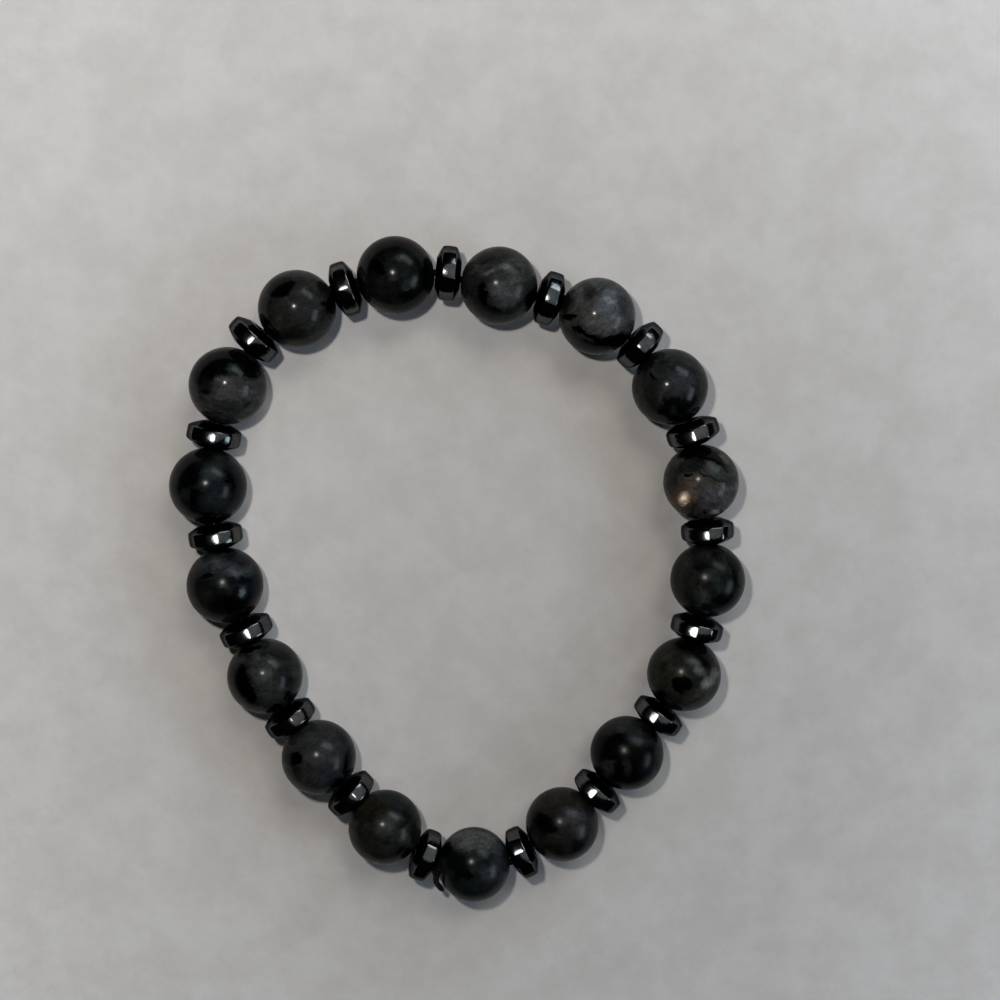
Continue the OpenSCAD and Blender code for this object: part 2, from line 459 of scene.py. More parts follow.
# For each stone: two base colours, how mottled it is, how streaky and the
# streaks' turn, how uneven the outlines are, and its patches. A patch has
# its middle in stone radii to the right and up as the camera sees it, its
# two half-widths, its turn in degrees, a colour, how soft its outline is
# and how strong it is.
STONES = [
    dict(base=(DG, KG), mottle=0.9, streak=0.25, turn=20, rag=0.22, patches=[
        (-0.35, -0.35, 0.55, 0.32, -15, (0.0150, 0.0140, 0.0148), 0.6, 0.7), (0.15, 0.30, 0.34, 0.26, -20, DG, 0.6, 0.9),
        (-0.50, 0.24, 0.30, 0.15, -48, K, 0.18, 1.0), (-0.10, 0.72, 0.60, 0.13, 5, KG, 0.5, 0.8),
        (0.75, -0.05, 0.18, 0.50, 0, K, 0.5, 0.9), (0.45, -0.48, 0.50, 0.12, 14, KG, 0.4, 1.0),
        (0.36, -0.18, 0.20, 0.10, 38, TL, 0.6, 0.6), (0.30, -0.34, 0.10, 0.06, 0, TL, 0.5, 0.8),
        (0.08, 0.45, 0.14, 0.09, -25, MG, 0.5, 0.9), (-0.05, -0.08, 0.12, 0.08, 0, WG, 0.6, 0.5),
        (-0.20, -0.75, 0.60, 0.18, 0, DG, 0.5, 0.8)]),
    dict(base=(MG, DG), mottle=0.8, streak=0.28, turn=12, rag=0.20, patches=[
        (0.10, 0.40, 0.55, 0.20, 12, MG, 0.6, 0.9), (-0.35, 0.70, 0.36, 0.11, 22, KB, 0.4, 0.9),
        (0.05, 0.80, 0.45, 0.14, 5, BR, 0.6, 0.7), (-0.28, 0.34, 0.20, 0.05, 18, LG, 0.6, 0.6),
        (0.12, 0.46, 0.18, 0.06, 10, LG, 0.6, 0.6), (0.30, 0.12, 0.26, 0.10, 20, LG, 0.7, 0.5),
        (0.22, -0.28, 0.36, 0.32, 0, (0.052, 0.055, 0.057), 0.6, 0.9),
        (-0.42, -0.18, 0.16, 0.31, 6, K, 0.22, 1.0), (-0.33, -0.10, 0.05, 0.07, 0, OL, 0.5, 0.9),
        (-0.15, -0.58, 0.34, 0.07, -24, K, 0.5, 0.75), (0.38, -0.57, 0.36, 0.07, 26, KG, 0.6, 0.6),
        (0.00, -0.80, 0.60, 0.16, 0, DG, 0.5, 0.8), (0.86, -0.35, 0.20, 0.26, 0, K, 0.3, 1.0),
        (-0.75, -0.15, 0.20, 0.40, 0, DG, 0.6, 0.8)]),
    dict(base=((0.064, 0.065, 0.064), MG), mottle=0.7, streak=0.24, turn=38, rag=0.16, patches=[
        (-0.40, 0.10, 0.30, 0.34, 0, (0.050, 0.049, 0.046), 0.5, 0.9), (-0.22, 0.66, 0.13, 0.26, 6, BR, 0.5, 0.75),
        (0.30, 0.42, 0.42, 0.26, 40, (0.092, 0.100, 0.105), 0.7, 0.85), (0.42, -0.10, 0.26, 0.30, 20, (0.092, 0.100, 0.105), 0.8, 0.7),
        (0.12, -0.22, 0.30, 0.22, 0, LG, 0.6, 0.8), (-0.12, -0.15, 0.10, 0.08, 0, LG, 0.6, 0.7),
        (0.62, 0.30, 0.10, 0.30, 20, MG, 0.6, 0.7), (0.66, 0.42, 0.12, 0.04, -40, DG, 0.4, 0.6),
        (-0.84, 0.40, 0.20, 0.36, 20, KB, 0.5, 0.9), (-0.72, -0.02, 0.24, 0.07, -8, K, 0.25, 1.0),
        (-0.44, -0.36, 0.20, 0.07, -38, K, 0.2, 1.0), (0.10, -0.58, 0.30, 0.08, -12, KB, 0.4, 0.9), (-0.14, -0.53, 0.24, 0.055, -20, K, 0.25, 0.95),
        (0.40, -0.64, 0.50, 0.19, 12, K, 0.25, 1.0), (-0.30, -0.76, 0.50, 0.20, -8, KG, 0.4, 0.9),
        (-0.70, -0.42, 0.26, 0.16, -40, BR, 0.5, 0.8)]),
    dict(base=((0.0135, 0.0150, 0.0150), (0.0150, 0.0156, 0.0140)), mottle=0.8, streak=0.25, turn=-25, rag=0.22, patches=[
        (0.00, 0.10, 0.50, 0.42, 0, (0.0190, 0.0208, 0.0212), 0.8, 0.8),
        (-0.15, 0.55, 0.60, 0.26, 10, (0.016, 0.018, 0.014), 0.5, 0.8), (0.34, 0.14, 0.34, 0.30, 0, (0.026, 0.028, 0.032), 0.5, 0.95),
        (-0.56, -0.22, 0.32, 0.34, 20, OL, 0.5, 0.9), (-0.22, -0.30, 0.07, 0.16, 12, MG, 0.5, 0.7),
        (-0.44, 0.24, 0.13, 0.05, -35, K, 0.3, 0.95), (-0.10, 0.68, 0.24, 0.05, 30, KG, 0.4, 0.7),
        (0.10, -0.55, 0.36, 0.34, -25, KG, 0.25, 1.0), (-0.20, -0.64, 0.14, 0.09, 20, K, 0.3, 1.0),
        (0.30, -0.74, 0.34, 0.22, -25, K, 0.3, 1.0), (0.10, -0.60, 0.09, 0.14, 10, DG, 0.5, 0.8),
        (0.56, -0.40, 0.20, 0.24, 20, NV, 0.3, 1.0), (0.52, -0.24, 0.10, 0.12, 0, SL, 0.6, 0.7),
        (-0.60, 0.60, 0.25, 0.18, 40, KG, 0.5, 0.9)]),
    dict(base=(WG, DG), mottle=0.6, streak=0.35, turn=-30, rag=0.18, patches=[
        (0.40, -0.45, 0.50, 0.38, 0, (0.055, 0.053, 0.057), 0.5, 0.9), (-0.40, -0.02, 0.28, 0.24, 0, (0.062, 0.054, 0.048), 0.4, 0.95),
        (-0.75, 0.00, 0.20, 0.50, 0, BR, 0.5, 0.9), (0.42, 0.28, 0.40, 0.14, -28, (0.030, 0.033, 0.033), 0.5, 0.9),
        (-0.22, 0.46, 0.30, 0.22, 8, (0.013, 0.0155, 0.0145), 0.25, 1.0), (0.03, 0.79, 0.56, 0.25, 0, K, 0.25, 1.0),
        (0.34, 0.60, 0.36, 0.14, -38, K, 0.25, 1.0), (-0.36, -0.34, 0.26, 0.22, 0, (0.085, 0.074, 0.066), 0.9, 0.7), (-0.38, 0.78, 0.30, 0.16, 20, K, 0.3, 1.0),
        (-0.30, 0.20, 0.12, 0.05, 14, K, 0.35, 0.95), (0.06, 0.19, 0.14, 0.04, -42, K, 0.4, 0.9),
        (0.30, 0.10, 0.30, 0.03, -22, KG, 0.5, 0.7), (0.62, 0.62, 0.20, 0.11, -38, (0.050, 0.052, 0.042), 0.4, 1.0),
        (-0.62, -0.52, 0.12, 0.10, 40, BR, 0.4, 0.9), (0.12, -0.80, 0.06, 0.05, 0, (0.006, 0.002, 0.004), 0.4, 1.0),
        (0.36, -0.78, 0.11, 0.07, 20, PK, 0.6, 0.9), (-0.20, -0.90, 0.12, 0.05, 0, (0.020, 0.006, 0.008), 0.5, 0.9)],
        # painted sheen: stone 5's schiller flash, a bright copper spot painted into its colour where the key light's
        # reflection shows
        painted_sheen_flash=(-0.45, -0.43, 0.115, 0.155, (0.86, 0.71, 0.60))),
    dict(base=(DG, KG), mottle=0.8, streak=0.3, turn=70, rag=0.22, patches=[
        (0.02, 0.66, 0.50, 0.24, 0, (0.011, 0.010, 0.012), 0.5, 0.9), (-0.55, -0.05, 0.34, 0.60, 0, (0.014, 0.014, 0.011), 0.5, 0.9),
        (0.62, 0.54, 0.13, 0.34, 38, K, 0.3, 1.0), (0.78, 0.08, 0.13, 0.44, 4, K, 0.3, 1.0),
        (0.42, -0.50, 0.32, 0.19, 12, (0.0014, 0.0026, 0.0042), 0.25, 1.0), (0.60, -0.60, 0.16, 0.16, 0, K, 0.4, 0.8),
        (0.10, -0.10, 0.08, 0.07, 0, KG, 0.4, 0.9), (-0.15, -0.48, 0.22, 0.26, 10, (0.026, 0.031, 0.028), 0.6, 0.9),
        (0.10, 0.12, 0.22, 0.16, -20, (0.0150, 0.0165, 0.0165), 0.6, 0.8), (-0.25, 0.32, 0.16, 0.12, 0, KG, 0.5, 0.8),
        (-0.48, 0.42, 0.14, 0.20, 20, (0.0160, 0.0175, 0.0170), 0.5, 0.8), (0.30, -0.15, 0.14, 0.18, 10, (0.0170, 0.0200, 0.0205), 0.6, 0.8),
        (-0.05, -0.78, 0.30, 0.12, 0, KG, 0.5, 0.8), (0.24, 0.62, 0.16, 0.10, -20, KG, 0.5, 0.8)]),
    dict(base=(OL, DG), mottle=0.7, streak=0.25, turn=35, rag=0.16, patches=[
        (-0.35, 0.00, 0.55, 0.60, 0, (0.021, 0.021, 0.016), 0.5, 0.9), (-0.58, 0.22, 0.18, 0.16, 0, (0.012, 0.009, 0.006), 0.5, 0.9),
        (0.20, 0.72, 0.55, 0.20, -10, K, 0.35, 1.0), (0.56, 0.43, 0.30, 0.20, -38, K, 0.3, 1.0),
        (0.36, 0.60, 0.10, 0.14, 20, KG, 0.5, 0.8), (0.42, 0.10, 0.14, 0.13, -30, (0.090, 0.088, 0.080), 0.85, 0.8),
        (0.68, -0.20, 0.13, 0.30, -34, (0.125, 0.124, 0.114), 0.9, 0.9), (0.80, 0.06, 0.14, 0.08, 0, (0.08, 0.078, 0.07), 0.8, 0.8),
        (0.16, 0.34, 0.16, 0.09, -32, (0.048, 0.048, 0.044), 0.8, 0.8), (0.40, -0.62, 0.40, 0.24, 20, (0.035, 0.035, 0.028), 0.5, 0.9),
        (-0.05, -0.29, 0.27, 0.23, -8, K, 0.14, 1.0), (-0.62, -0.62, 0.26, 0.16, -40, K, 0.4, 0.9),
        (-0.12, -0.85, 0.24, 0.10, 0, NV, 0.5, 0.8), (0.15, -0.52, 0.16, 0.08, -30, OL, 0.6, 0.7)]),
    dict(base=(KG, K), mottle=0.8, streak=0.25, turn=0, rag=0.22, patches=[
        (-0.10, 0.74, 0.74, 0.24, 6, (0.0260, 0.0275, 0.0270), 0.6, 0.9), (0.34, 0.40, 0.36, 0.24, -10, (0.0250, 0.0270, 0.0290), 0.6, 0.9),
        (0.86, 0.02, 0.14, 0.42, 0, (0.0220, 0.0240, 0.0240), 0.6, 0.8), (-0.36, 0.30, 0.34, 0.24, 14, K, 0.3, 1.0),
        (-0.50, -0.36, 0.21, 0.23, 0, (0.0370, 0.0390, 0.0360), 0.4, 0.95), (0.02, -0.40, 0.15, 0.22, 10, (0.0210, 0.0225, 0.0225), 0.45, 0.9),
        (-0.32, -0.10, 0.20, 0.10, 10, K, 0.35, 1.0), (0.30, 0.02, 0.28, 0.11, -16, K, 0.3, 0.95), (-0.22, -0.40, 0.06, 0.18, 8, K, 0.4, 0.9),
        (0.50, -0.46, 0.27, 0.20, -20, (0.0022, 0.0046, 0.0078), 0.3, 1.0), (0.00, -0.78, 0.50, 0.17, 0, K, 0.4, 0.9),
        (-0.12, 0.14, 0.12, 0.05, -30, MG, 0.6, 0.8), (0.55, 0.05, 0.18, 0.16, 0, KG, 0.5, 0.8)]),
    dict(base=((0.0125, 0.0132, 0.0128), (0.0165, 0.0155, 0.0142)), mottle=0.7, streak=0.16, turn=15, rag=0.22, patches=[
        (-0.35, 0.55, 0.50, 0.30, 20, (0.0150, 0.0135, 0.0118), 0.6, 0.9), (-0.52, 0.06, 0.38, 0.24, -45, K, 0.45, 1.0),
        (-0.25, -0.14, 0.13, 0.12, 0, K, 0.35, 1.0), (0.32, 0.22, 0.40, 0.24, 10, (0.030, 0.031, 0.033), 0.5, 0.95),
        (0.55, 0.60, 0.26, 0.20, 0, (0.020, 0.017, 0.014), 0.5, 0.9), (0.02, -0.35, 0.50, 0.16, 12, (0.016, 0.015, 0.013), 0.5, 0.9),
        (0.45, -0.60, 0.26, 0.18, -15, (0.004, 0.005, 0.007), 0.4, 1.0), (-0.30, -0.70, 0.40, 0.20, 0, (0.009, 0.008, 0.007), 0.5, 0.9),
        (0.45, -0.15, 0.20, 0.14, 0, (0.026, 0.027, 0.028), 0.6, 0.8), (-0.10, -0.36, 0.10, 0.05, 0, MG, 0.6, 0.5)]),
    dict(base=((0.0150, 0.0172, 0.0180), DG), mottle=0.7, streak=0.2, turn=12, rag=0.18, patches=[
        (-0.05, 0.66, 0.80, 0.34, -6, (0.053, 0.054, 0.053), 0.3, 1.0), (0.60, 0.42, 0.24, 0.20, -20, (0.036, 0.039, 0.041), 0.5, 0.9),
        (-0.76, 0.36, 0.17, 0.30, 10, K, 0.3, 1.0), (-0.52, 0.10, 0.26, 0.16, 0, (0.008, 0.008, 0.006), 0.4, 1.0),
        (0.26, 0.02, 0.42, 0.09, 6, (0.006, 0.008, 0.009), 0.4, 1.0), (-0.18, -0.27, 0.18, 0.15, -10, K, 0.3, 1.0), (-0.42, 0.03, 0.37, 0.27, -24, KG, 0.32, 1.0),
        (-0.05, -0.62, 0.55, 0.26, 0, (0.010, 0.0135, 0.0145), 0.5, 0.95), (0.42, -0.28, 0.30, 0.18, 30, (0.024, 0.028, 0.030), 0.6, 0.9),
        (0.60, 0.05, 0.22, 0.14, 10, (0.024, 0.027, 0.029), 0.5, 0.9), (-0.45, -0.32, 0.14, 0.16, 0, KG, 0.4, 0.9),
        (0.72, -0.20, 0.05, 0.34, -16, (0.012, 0.016, 0.022), 0.5, 0.8)]),
    dict(base=((0.0172, 0.0182, 0.0165), (0.0052, 0.0054, 0.0046)), mottle=0.6, streak=0.2, turn=-20, rag=0.2, patches=[
        (-0.30, 0.45, 0.40, 0.30, 20, (0.011, 0.010, 0.007), 0.5, 0.95), (-0.55, 0.62, 0.28, 0.14, 40, (0.022, 0.021, 0.015), 0.5, 0.8),
        (0.00, 0.05, 0.32, 0.26, 0, (0.0285, 0.0295, 0.0270), 0.6, 0.9), (0.30, 0.62, 0.34, 0.16, -24, (0.0080, 0.0105, 0.0102), 0.5, 0.9), (0.30, 0.28, 0.26, 0.16, -30, (0.0250, 0.0280, 0.0280), 0.7, 0.8),
        (0.66, 0.34, 0.18, 0.26, 20, (0.0060, 0.0080, 0.0080), 0.6, 0.85), (0.80, -0.14, 0.12, 0.36, 0, KG, 0.5, 0.8),
        (0.42, -0.28, 0.20, 0.24, 20, (0.0180, 0.0215, 0.0220), 0.8, 0.7), (-0.20, -0.55, 0.50, 0.28, 0, (0.0168, 0.0168, 0.0148), 0.5, 0.9),
        (0.55, -0.68, 0.22, 0.18, 0, K, 0.4, 0.9), (0.05, -0.42, 0.12, 0.07, 0, KB, 0.5, 0.7)]),
    dict(base=(MG, DG), mottle=0.35, streak=0.15, turn=40, rag=0.16, patches=[
        (0.00, 0.20, 0.70, 0.60, 0, (0.034, 0.034, 0.035), 0.5, 0.85), (-0.67, -0.05, 0.27, 0.22, 0, K, 0.18, 1.0),
        (0.76, -0.16, 0.12, 0.46, -4, K, 0.25, 1.0), (0.62, 0.50, 0.14, 0.28, 30, (0.013, 0.011, 0.014), 0.5, 0.8),
        (0.52, -0.68, 0.26, 0.14, 20, K, 0.35, 0.95), (-0.45, -0.55, 0.34, 0.22, -30, (0.030, 0.029, 0.027), 0.5, 0.8), (0.00, -0.60, 0.36, 0.24, 0, (0.036, 0.036, 0.037), 0.6, 0.8),
        (0.30, -0.45, 0.26, 0.20, 0, (0.023, 0.024, 0.031), 0.6, 0.85), (-0.58, -0.34, 0.12, 0.10, 0, (0.012, 0.014, 0.011), 0.5, 0.8),
        (0.12, 0.30, 0.14, 0.06, -20, (0.050, 0.050, 0.050), 0.6, 0.7)]),
    dict(base=(MG, DG), mottle=0.65, streak=0.3, turn=-15, rag=0.2, patches=[
        (-0.08, 0.20, 0.38, 0.46, 0, (0.046, 0.049, 0.045), 0.35, 0.95), (0.18, -0.45, 0.36, 0.34, 0, (0.038, 0.040, 0.038), 0.4, 0.95),
        (-0.66, 0.06, 0.15, 0.32, 4, K, 0.2, 1.0), (-0.56, -0.22, 0.17, 0.24, 22, K, 0.2, 1.0), (-0.40, -0.48, 0.20, 0.27, 40, K, 0.2, 1.0),
        (-0.46, 0.70, 0.30, 0.09, 12, K, 0.25, 1.0), (0.35, 0.58, 0.34, 0.13, -18, (0.014, 0.016, 0.016), 0.4, 0.95),
        (0.60, 0.28, 0.14, 0.24, 0, (0.020, 0.021, 0.023), 0.5, 0.8), (0.56, -0.14, 0.17, 0.15, 0, (0.010, 0.012, 0.014), 0.4, 0.95),
        (0.64, -0.54, 0.17, 0.15, 20, K, 0.3, 1.0), (0.20, -0.84, 0.36, 0.08, 8, K, 0.35, 1.0),
        (-0.10, 0.56, 0.16, 0.08, 10, DG, 0.5, 0.7), (-0.78, 0.40, 0.12, 0.20, 20, MG, 0.5, 0.8)]),
    dict(base=(DG, NV), mottle=0.8, streak=0.4, turn=18, rag=0.22, patches=[
        (-0.20, 0.50, 0.54, 0.30, 6, (0.032, 0.036, 0.039), 0.65, 0.95), (0.42, 0.36, 0.36, 0.17, 22, (0.042, 0.046, 0.050), 0.65, 0.95),
        (0.30, 0.66, 0.34, 0.12, -14, (0.012, 0.011, 0.017), 0.4, 0.95), (-0.44, 0.22, 0.17, 0.08, 8, KG, 0.3, 1.0),
        (0.14, 0.14, 0.17, 0.12, 0, NV, 0.35, 0.95), (0.42, 0.12, 0.10, 0.14, 20, NV, 0.35, 0.95),
        (0.62, -0.06, 0.19, 0.13, -8, (0.004, 0.008, 0.011), 0.3, 1.0), (0.36, -0.20, 0.15, 0.08, 56, (0.045, 0.062, 0.064), 0.45, 0.95),
        (0.16, -0.46, 0.28, 0.22, 0, K, 0.3, 1.0), (0.42, -0.60, 0.40, 0.22, -8, K, 0.3, 1.0),
        (-0.18, -0.45, 0.14, 0.12, 0, KG, 0.4, 0.9), (-0.60, -0.35, 0.34, 0.34, 0, (0.015, 0.015, 0.012), 0.5, 0.9),
        (-0.05, 0.00, 0.16, 0.10, -30, (0.040, 0.040, 0.040), 0.6, 0.6), (0.00, 0.90, 0.40, 0.08, 0, K, 0.4, 1.0)]),
    dict(base=(DT, K), mottle=0.8, streak=0.25, turn=0, rag=0.24, patches=[
        (-0.52, 0.30, 0.34, 0.34, 10, K, 0.4, 1.0), (-0.02, 0.72, 0.34, 0.16, 0, KG, 0.4, 0.95),
        (0.28, 0.66, 0.24, 0.16, -10, (0.0160, 0.0185, 0.0165), 0.6, 0.85), (0.10, 0.36, 0.26, 0.20, -30, (0.0220, 0.0250, 0.0265), 0.6, 0.9),
        (0.56, 0.10, 0.08, 0.26, 0, K, 0.35, 1.0), (-0.32, -0.32, 0.34, 0.22, -35, K, 0.4, 0.95),
        (-0.62, -0.22, 0.14, 0.22, 0, (0.010, 0.013, 0.011), 0.5, 0.9), (0.18, -0.42, 0.42, 0.26, 0, (0.0140, 0.0165, 0.0180), 0.6, 0.95),
        (0.28, 0.00, 0.20, 0.16, 0, (0.008, 0.010, 0.014), 0.5, 0.9), (0.00, -0.82, 0.40, 0.14, 0, K, 0.35, 1.0)]),
    dict(base=(MG, DG), mottle=0.6, streak=0.35, turn=-12, rag=0.2, patches=[
        (0.10, -0.30, 0.75, 0.52, -8, (0.036, 0.035, 0.035), 0.35, 0.95), (0.00, -0.52, 0.36, 0.20, 0, (0.019, 0.020, 0.020), 0.6, 0.85),
        (-0.10, 0.60, 0.84, 0.42, 2, (0.0012, 0.0020, 0.0019), 0.18, 1.0), (0.58, 0.44, 0.34, 0.26, -12, K, 0.2, 1.0),
        (-0.60, 0.30, 0.34, 0.30, 20, K, 0.25, 1.0), (-0.56, 0.00, 0.22, 0.22, 0, (0.0055, 0.0078, 0.0078), 0.45, 0.9),
        (0.12, 0.40, 0.17, 0.15, 0, (0.013, 0.019, 0.0185), 0.5, 0.95), (-0.60, -0.16, 0.11, 0.07, 0, K, 0.4, 0.8),
        (-0.12, -0.16, 0.20, 0.12, 30, (0.052, 0.048, 0.048), 0.6, 0.8), (0.45, -0.42, 0.16, 0.10, -30, DG, 0.6, 0.7),
        (0.45, 0.18, 0.12, 0.05, 0, DG, 0.5, 0.7)]),
    dict(base=(DG, OL), mottle=0.55, streak=0.3, turn=25, rag=0.16, patches=[
        (0.15, 0.10, 0.62, 0.50, 0, (0.020, 0.0205, 0.0205), 0.6, 0.9), (-0.30, 0.12, 0.40, 0.34, 0, (0.016, 0.0165, 0.015), 0.6, 0.8),
        (-0.43, 0.55, 0.40, 0.27, 27, K, 0.16, 1.0), (-0.14, 0.70, 0.10, 0.10, 40, K, 0.3, 1.0),
        (0.55, 0.58, 0.24, 0.10, -40, (0.005, 0.007, 0.006), 0.4, 0.95), (0.84, 0.08, 0.12, 0.36, -8, K, 0.25, 1.0),
        (0.70, 0.14, 0.10, 0.08, 0, K, 0.4, 0.9), (-0.66, -0.50, 0.14, 0.30, 36, K, 0.3, 1.0),
        (-0.30, -0.38, 0.30, 0.22, 0, (0.0205, 0.0202, 0.0158), 0.6, 0.85), (0.00, -0.62, 0.36, 0.12, 10, (0.010, 0.011, 0.008), 0.5, 0.85),
        (0.45, -0.50, 0.30, 0.20, 0, (0.021, 0.021, 0.022), 0.6, 0.8)]),
]


# How fine each stone's polish is: the coat's roughness
POLISH = (0.190, 0.205, 0.152, 0.148, 0.204, 0.245, 0.229, 0.275, 0.257, 0.228, 0.205, 0.212, 0.195, 0.242, 0.204, 0.158, 0.154)
# How light each stone is overall
GAIN = (0.65, 0.88, 0.77, 1.04, 0.89, 1.08, 0.88, 0.63, 1.02, 0.94, 1.06, 0.73, 0.58, 0.68, 0.93, 1.03, 0.95)


def stone_material(i):
    spec = STONES[i]
    t = Tree(f"stone_{i + 1:02d}")
    centre = stones[i]
    # this stone's own right, up and towards the eye
    e3 = (EYE - centre).normalized()
    e1 = (RIGHT - e3 * RIGHT.dot(e3)).normalized()
    e2 = e3.cross(e1).normalized()
    k = 1 / STONE_R
    p = t.mapping(t.place(), location=tuple(-centre * k), scale=(k, k, k))
    shift = Vector((3.7 * i + 1.3, 11.0 - 2.1 * i, 5.0 + 4.3 * i))
    q = t.mapping(p, location=tuple(shift))

    # outlines wander: one slow and one fine disturbance of the place
    slow = t.noise(q, 2.3, 2.0, 0.5, colour=True)
    fine = t.noise(q, 9.0, 4.0, 0.62, colour=True)
    wander = t.vector("MULTIPLY_ADD", slow, (spec["rag"] * 1.5,) * 3)
    wander.node.inputs[2].default_value = (-spec["rag"] * 0.75,) * 3
    frill = t.vector("MULTIPLY_ADD", fine, (spec["rag"] * 0.75,) * 3)
    frill.node.inputs[2].default_value = (-spec["rag"] * 0.375,) * 3
    w = t.vector("ADD", t.vector("ADD", p, wander), frill)

    # feldspar crystals: cells with their own tone and sheen direction
    cell_at = t.mapping(w, location=tuple(shift * 0.37), scale=(1.0, 1.0, 1.0))
    cell = t.cells(cell_at, 1.9)
    tone = t.node("ShaderNodeSeparateColor")
    t.link(cell, tone.inputs[0])
    cloud = t.noise(q, 1.9, 6.0, 0.62)
    blend = t.mix_value(0.32, cloud, tone.outputs[0])
    half = 0.24 + 0.16 * (1 - spec["mottle"])
    depth = t.span(blend, 0.5 - half, 0.5 + half)
    colour = t.mix(depth, spec["base"][0], spec["base"][1])

    # the far side has its own black patches, since the photo shows none of it
    far = t.vector("DOT_PRODUCT", p, tuple(-e3), out="Value")
    far = t.span(far, -0.15, 0.25)
    spots = t.span(t.noise(t.mapping(w, location=(9.1 + i, 2.2, 4.4 - i)), 1.55, 2.0, 0.5), 0.555, 0.60)
    colour = t.mix(t.math("MULTIPLY", far, spots), colour, K)
    glow = t.span(t.noise(t.mapping(w, location=(1.1, 8.2 + i, 3.4 - i)), 1.3, 2.0, 0.5), 0.56, 0.66)
    colour = t.mix(t.math("MULTIPLY", t.math("MULTIPLY", far, glow), 0.7), colour,
                   (MG, LG, TL, SL, WG)[i % 5])

    rot_base = Matrix((e1, e2, e3)).transposed()

    def patch(a, b, ra, rb, turn, soft, at=w):
        c = math.sqrt(max(0.02, 1 - a * a - b * b))
        d = e1 * a + e2 * b + e3 * c
        rot = (rot_base @ Matrix.Rotation(math.radians(turn), 3, "Z")).to_euler("XYZ")
        near = t.mapping(at, "TEXTURE", tuple(d), tuple(rot), (ra, rb, 0.62))
        return t.span(t.length(near), 1 + soft * 0.75, 1 - soft)

    for a, b, ra, rb, turn, col, soft, strength in spec["patches"]:
        mask = patch(a, b, ra, rb, turn, soft)
        if strength < 1:
            mask = t.math("MULTIPLY", mask, strength)
        colour = t.mix(mask, colour, col)

    # cleavage streaks, fine grain and hairline cracks over everything
    lie = (rot_base @ Matrix.Rotation(math.radians(spec["turn"]), 3, "Z")).to_euler("XYZ")
    streak = t.noise(t.mapping(w, "TEXTURE", (0, 0, 0), tuple(lie), (0.62, 0.085, 0.30)), 1.0, 4.0, 0.6)
    amount = spec["streak"]
    streak = t.span(streak, 0.30, 0.70, 1 - amount, 1 + amount * 1.1, "LINEAR")
    colour = t.vector("SCALE", colour, scale=streak)
    mottle = t.span(t.noise(w, 4.2, 5.0, 0.6), 0.32, 0.68, 0.72, 1.30, "LINEAR")
    colour = t.vector("SCALE", colour, scale=mottle)
    grain = t.span(t.noise(q, 14.0, 6.0, 0.70), 0.30, 0.70, 0.70, 1.32, "LINEAR")
    colour = t.vector("SCALE", colour, scale=grain)
    edge = t.cells(cell_at, 1.9, "DISTANCE_TO_EDGE", "Distance")
    crack = t.span(edge, 0.0, 0.030, 0.84, 1.0)
    colour = t.vector("SCALE", colour, scale=crack)

    # a steeper tone, and each stone's own lightness
    steep = t.node("ShaderNodeGamma")
    t.link(colour, steep.inputs[0])
    steep.inputs[1].default_value = 1.18
    gain = 1.75 * GAIN[i]
    colour = t.vector("MULTIPLY", steep.outputs[0], (gain * 0.965, gain, gain * 1.05))

    # each crystal sends its sheen its own way, under the polish
    normal = t.node("ShaderNodeNewGeometry").outputs["Normal"]
    tilt = t.vector("MULTIPLY_ADD", cell, (0.30, 0.30, 0.30))
    tilt.node.inputs[2].default_value = (-0.15, -0.15, -0.15)
    fleck = t.vector("MULTIPLY_ADD", fine, (0.22, 0.22, 0.22))
    fleck.node.inputs[2].default_value = (-0.11, -0.11, -0.11)
    lean = t.vector("ADD", t.vector("ADD", normal, tilt), fleck)
    metal = t.span(tone.outputs[1], 0.35, 1.0, 0.0, 0.35, "LINEAR")
    # painted sheen: the schiller flash is painted in as a bright copper core in a warm halo, and under the halo the
    # crystals lean toward the key light's half-way direction as the camera sees it, so the key light's reflection lands
    # on the painted spot
    if "painted_sheen_flash" in spec:
        a, b, ra, rb, col = spec["painted_sheen_flash"]
        calm = t.vector("ADD", p, t.vector("SCALE", frill, scale=0.6))
        painted_sheen_halo = patch(a - 0.04, b - 0.05, ra * 2.3, rb * 1.75, -35, 0.95)
        core = patch(a, b, ra, rb, -35, 0.95, calm)
        colour = t.mix(painted_sheen_halo, colour, (0.125, 0.073, 0.043))
        colour = t.mix(core, colour, col)
        c = math.sqrt(1 - a * a - b * b)
        d = e1 * a + e2 * b + e3 * c
        h = (e3 + e1 * (-0.075) + e2 * 0.075).normalized()
        lean = t.vector("ADD", lean, t.vector("SCALE", tuple(h - d), scale=painted_sheen_halo))
        metal = t.mix_value(painted_sheen_halo, metal, 0.9)
    base_normal = t.vector("NORMALIZE", lean)

    b = t.bsdf
    t.link(colour, b.inputs["Base Color"])
    t.link(metal, b.inputs["Metallic"])
    b.inputs["Roughness"].default_value = 0.46
    b.inputs["Specular IOR Level"].default_value = 0.0
    t.link(base_normal, b.inputs["Normal"])
    b.inputs["Coat Weight"].default_value = 0.50
    b.inputs["Coat Roughness"].default_value = POLISH[i]
    b.inputs["Coat IOR"].default_value = 1.30
    pits = t.noise(q, 22.0, 3.0, 0.6)
    t.link(t.bump(pits, 0.05, 0.00002), b.inputs["Coat Normal"])
    return t.material


